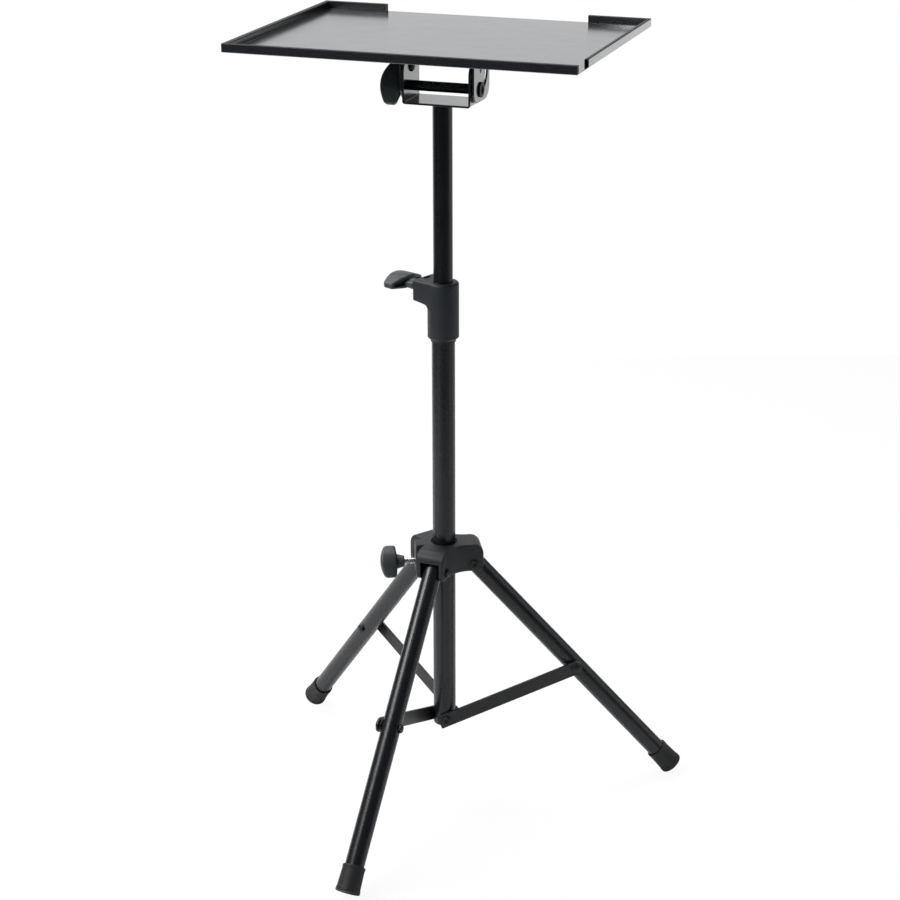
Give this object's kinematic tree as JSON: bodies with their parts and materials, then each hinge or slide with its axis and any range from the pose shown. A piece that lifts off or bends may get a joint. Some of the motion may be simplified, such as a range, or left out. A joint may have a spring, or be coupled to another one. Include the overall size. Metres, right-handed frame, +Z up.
{
  "type": "tripod shelf stand",
  "caption": "Free-standing shelf tray on a telescopic column with folding braced legs; the tray tilts, swivels and is set in height by wing knobs",
  "frame": {"origin": "on the floor under the column's axis", "axes": "+Z up, -Y the tray's long rim, +X its right"},
  "size_m": [0.5779, 0.5206, 1.043],
  "materials": {
    "tube_paint": "satin",
    "brace_paint": "satin",
    "bracket_paint": "satin",
    "tray_paint": "satin",
    "collar_plastic": "matte",
    "knob_plastic": "matte",
    "foot_rubber": "matte",
    "zinc_steel": "satin",
    "black_steel": "satin"
  },
  "bodies": {
    "column": {"column_tube": "tube_paint", "column_plug": "collar_plastic", "height_collar": "collar_plastic", "collar_nut": "zinc_steel", "brace_screw_right": "black_steel", "brace_screw_left": "black_steel", "brace_screw_front": "black_steel"},
    "collar_knob": {"collar_knob": "knob_plastic", "collar_screw": "zinc_steel"},
    "hub": {"leg_hub": "collar_plastic", "hub_bolt_right": "black_steel", "hub_bolt_left": "black_steel", "hub_bolt_front": "black_steel"},
    "hub_knob": {"hub_knob": "knob_plastic", "hub_screw": "zinc_steel"},
    "bush": {"mast_bush": "collar_plastic"},
    "mast": {"mast_tube": "tube_paint", "tilt_cradle": "bracket_paint", "spacer_tube": "black_steel", "clamp_bolt": "black_steel", "pivot_rivet_right": "black_steel", "pivot_rivet_left": "black_steel"},
    "tilt_knob": {"tilt_knob": "knob_plastic"},
    "tray": {"tray": "tray_paint", "tray_hanger": "bracket_paint"},
    "leg_right": {"leg_tube_right": "tube_paint", "foot_right": "foot_rubber", "leg_bolt_right": "black_steel"},
    "brace_right": {"brace_right": "brace_paint", "brace_rivet_right": "black_steel"},
    "leg_left": {"leg_tube_left": "tube_paint", "foot_left": "foot_rubber", "leg_bolt_left": "black_steel"},
    "brace_left": {"brace_left": "brace_paint", "brace_rivet_left": "black_steel"},
    "leg_front": {"leg_tube_front": "tube_paint", "foot_front": "foot_rubber", "leg_bolt_front": "black_steel"},
    "brace_front": {"brace_front": "brace_paint", "brace_rivet_front": "black_steel"}
  },
  "joints": [
    {"name": "hub_slide", "type": "slide", "parent": "column", "child": "hub", "axis": [0, 0, 1], "range_m": [0, 0.1664]},
    {"name": "leg_right_fold", "type": "hinge", "parent": "hub", "child": "leg_right", "pos_m": [0.03395, 0.01707, 0.3388], "axis": [-0.4493, 0.8934, 0], "range_deg": [0, 36.6]},
    {"name": "brace_right_swing", "type": "hinge", "parent": "column", "child": "brace_right", "pos_m": [0, 0, 0.109], "axis": [0.4493, -0.8934, 0], "range_deg": [0, 53.15]},
    {"name": "leg_left_fold", "type": "hinge", "parent": "hub", "child": "leg_left", "pos_m": [-0.03176, 0.02086, 0.3388], "axis": [-0.549, -0.8358, 0], "range_deg": [0, 36.6]},
    {"name": "brace_left_swing", "type": "hinge", "parent": "column", "child": "brace_left", "pos_m": [0, 0, 0.109], "axis": [0.549, 0.8358, 0], "range_deg": [0, 53.15]},
    {"name": "leg_front_fold", "type": "hinge", "parent": "hub", "child": "leg_front", "pos_m": [-0.00219, -0.03794, 0.3388], "axis": [0.9983, -0.0576, 0], "range_deg": [0, 36.6]},
    {"name": "brace_front_swing", "type": "hinge", "parent": "column", "child": "brace_front", "pos_m": [0, 0, 0.109], "axis": [-0.9983, 0.0576, 0], "range_deg": [0, 53.15]},
    {"name": "mast_slide", "type": "slide", "parent": "column", "child": "bush", "axis": [0, 0, 1], "range_m": [-0.19, 0.25]},
    {"name": "mast_swivel", "type": "hinge", "parent": "bush", "child": "mast", "pos_m": [0, 0, 0.32], "axis": [0, 0, 1], "continuous": true},
    {"name": "tray_tilt", "type": "hinge", "parent": "mast", "child": "tray", "pos_m": [0, 0.004, 0.997], "axis": [-1, 0, 0], "range_deg": [0, 90]},
    {"name": "collar_knob_turn", "type": "hinge", "parent": "column", "child": "collar_knob", "pos_m": [0, 0, 0.712], "axis": [-0.9239, 0.3827, 0], "continuous": true},
    {"name": "hub_knob_turn", "type": "hinge", "parent": "hub", "child": "hub_knob", "pos_m": [0, 0, 0.3408], "axis": [-0.8934, -0.4493, 0], "continuous": true},
    {"name": "tilt_knob_turn", "type": "hinge", "parent": "mast", "child": "tilt_knob", "pos_m": [0, 0.004, 0.973], "axis": [-1, 0, 0], "continuous": true}
  ],
  "couplings": [
    {"joint": "leg_right_fold", "follows": "hub_slide", "rad_per_m": 3.8383},
    {"joint": "brace_right_swing", "follows": "hub_slide", "rad_per_m": 5.5733},
    {"joint": "leg_left_fold", "follows": "hub_slide", "rad_per_m": 3.8383},
    {"joint": "brace_left_swing", "follows": "hub_slide", "rad_per_m": 5.5733},
    {"joint": "leg_front_fold", "follows": "hub_slide", "rad_per_m": 3.8383},
    {"joint": "brace_front_swing", "follows": "hub_slide", "rad_per_m": 5.5733}
  ]
}
